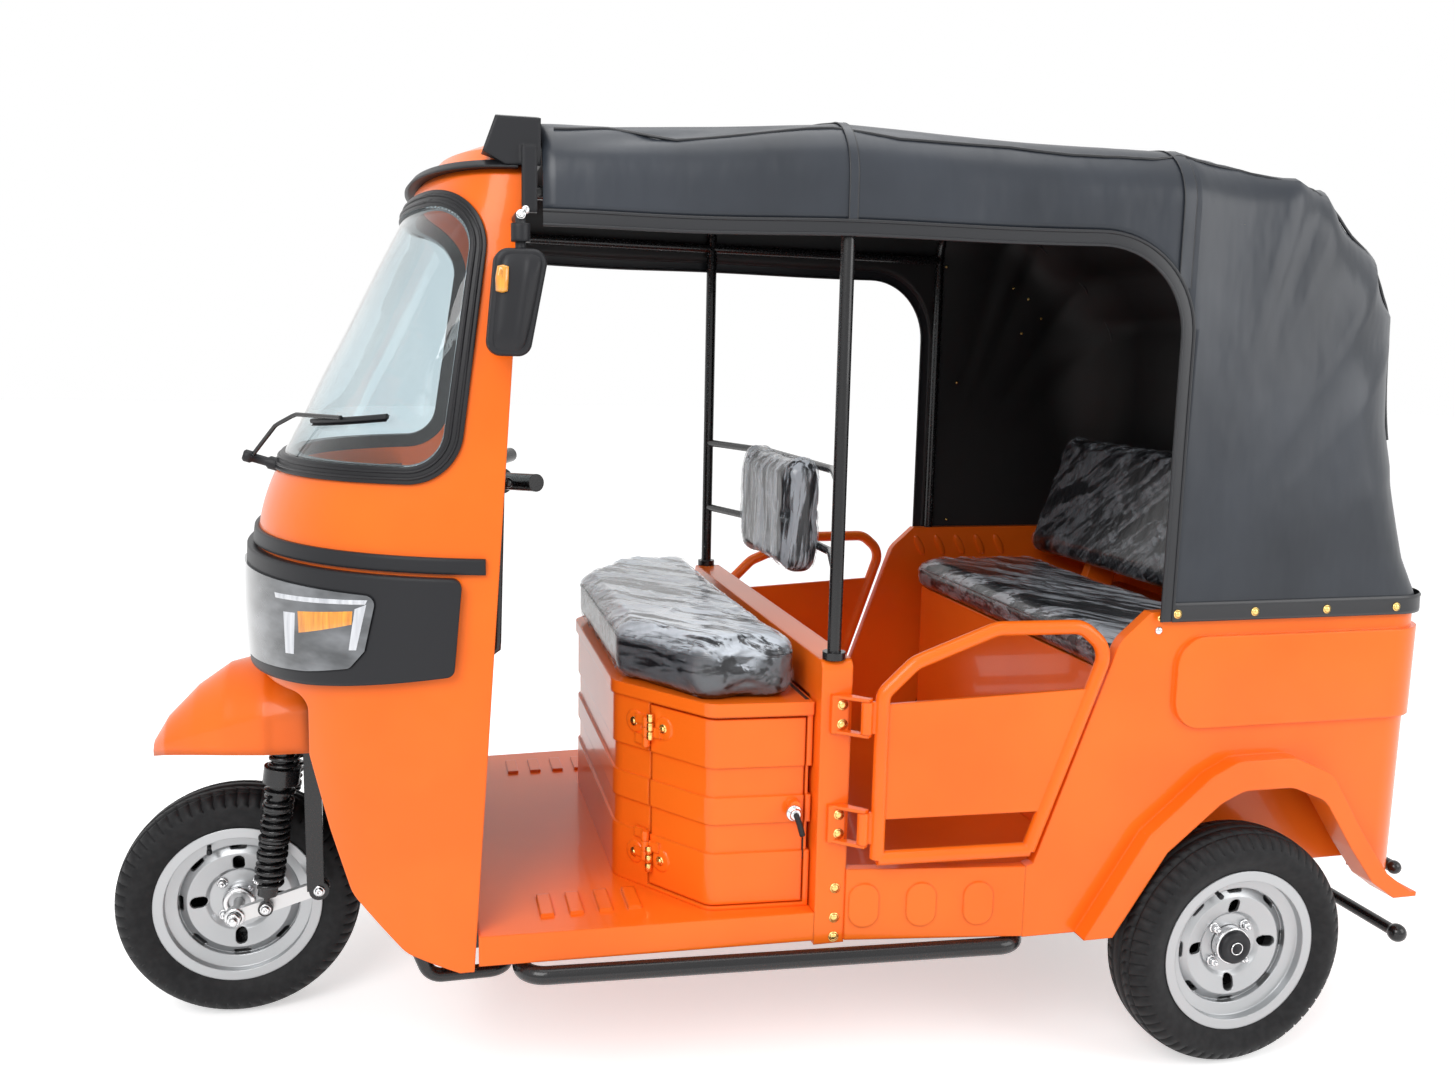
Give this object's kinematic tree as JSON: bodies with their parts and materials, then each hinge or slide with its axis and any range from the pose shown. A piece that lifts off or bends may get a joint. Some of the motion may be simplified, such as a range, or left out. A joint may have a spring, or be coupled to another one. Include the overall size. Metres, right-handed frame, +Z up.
{
  "type": "auto rickshaw",
  "caption": "Three-wheeled passenger rickshaw with an open-sided cab, soft canopy, low tube doors, leading-link front fork and a bench behind the driver.",
  "frame": {"origin": "on the ground under the middle of the overall length", "axes": "+X forward, +Y the vehicle's left, +Z up"},
  "size_m": [2.7199, 1.364, 1.8689],
  "materials": {
    "orange_paint": "gloss",
    "black_paint": "satin",
    "black_plastic": "matte",
    "rubber_trim": "matte",
    "tyre_rubber": "matte",
    "silver_steel": "satin",
    "link_steel": "satin",
    "screen_glass": "gloss",
    "lamp_lens": "gloss",
    "red_lens": "gloss",
    "canopy_vinyl": "satin",
    "seat_vinyl": "gloss"
  },
  "bodies": {
    "chassis": {"chassis_frame": "black_paint", "floor_panels": "orange_paint", "partition": "orange_paint", "front_cowl": "orange_paint", "windscreen_gasket": "rubber_trim", "windscreen_glass": "screen_glass", "lamp_bezel": "black_plastic", "cowl_trims": "black_plastic", "headlamps": "lamp_lens", "dash_bulkhead": "black_plastic", "roof_cap": "black_plastic", "mirrors": "black_plastic", "seat_box": "orange_paint", "battery_pack": "black_plastic", "driver_seat": "seat_vinyl", "driver_backrest": "seat_vinyl", "back_rails": "black_paint", "canopy_posts": "black_paint", "canopy_hoops": "black_paint", "canopy": "canopy_vinyl", "rear_quarter_left": "orange_paint", "rear_quarter_right": "orange_paint", "rear_panel": "orange_paint", "sill_panels": "orange_paint", "bench_base": "orange_paint", "bench_cushion": "seat_vinyl", "bench_backrest": "seat_vinyl", "door_hinges": "orange_paint", "side_steps": "black_paint", "rear_bumper": "black_paint", "tail_lamps": "red_lens", "rear_axle": "black_paint", "rear_dampers": "black_paint"},
    "steering": {"fork": "black_paint", "leading_links": "link_steel", "front_dampers": "black_paint", "handlebar": "black_paint", "mudguard": "orange_paint"},
    "front_wheel": {"front_tyre": "tyre_rubber", "front_rim": "silver_steel"},
    "rear_left_wheel": {"rear_left_tyre": "tyre_rubber", "rear_left_rim": "silver_steel"},
    "rear_right_wheel": {"rear_right_tyre": "tyre_rubber", "rear_right_rim": "silver_steel"},
    "left_door": {"door_left": "orange_paint"},
    "right_door": {"door_right": "orange_paint"},
    "box_door": {"seat_box_door": "orange_paint"}
  },
  "joints": [
    {"name": "steering_turn", "type": "hinge", "parent": "chassis", "child": "steering", "pos_m": [0.911, 0, 0.64], "axis": [-0.4067, 0, 0.9135], "range_deg": [-38, 38]},
    {"name": "front_wheel_spin", "type": "hinge", "parent": "steering", "child": "front_wheel", "pos_m": [1.113, 0, 0.247], "axis": [0, 1, 0], "continuous": true},
    {"name": "rear_left_wheel_spin", "type": "hinge", "parent": "chassis", "child": "rear_left_wheel", "pos_m": [-0.856, 0.617, 0.247], "axis": [0, 1, 0], "continuous": true},
    {"name": "rear_right_wheel_spin", "type": "hinge", "parent": "chassis", "child": "rear_right_wheel", "pos_m": [-0.856, -0.617, 0.247], "axis": [0, 1, 0], "continuous": true},
    {"name": "left_door_swing", "type": "hinge", "parent": "chassis", "child": "left_door", "pos_m": [-0.072, 0.582, 0.5], "axis": [0, 0, -1], "range_deg": [0, 85]},
    {"name": "right_door_swing", "type": "hinge", "parent": "chassis", "child": "right_door", "pos_m": [-0.072, -0.582, 0.5], "axis": [0, 0, 1], "range_deg": [0, 85]},
    {"name": "box_door_swing", "type": "hinge", "parent": "chassis", "child": "box_door", "pos_m": [0.30728, 0.37329, 0.5], "axis": [0, 0, -1], "range_deg": [0, 100]}
  ]
}
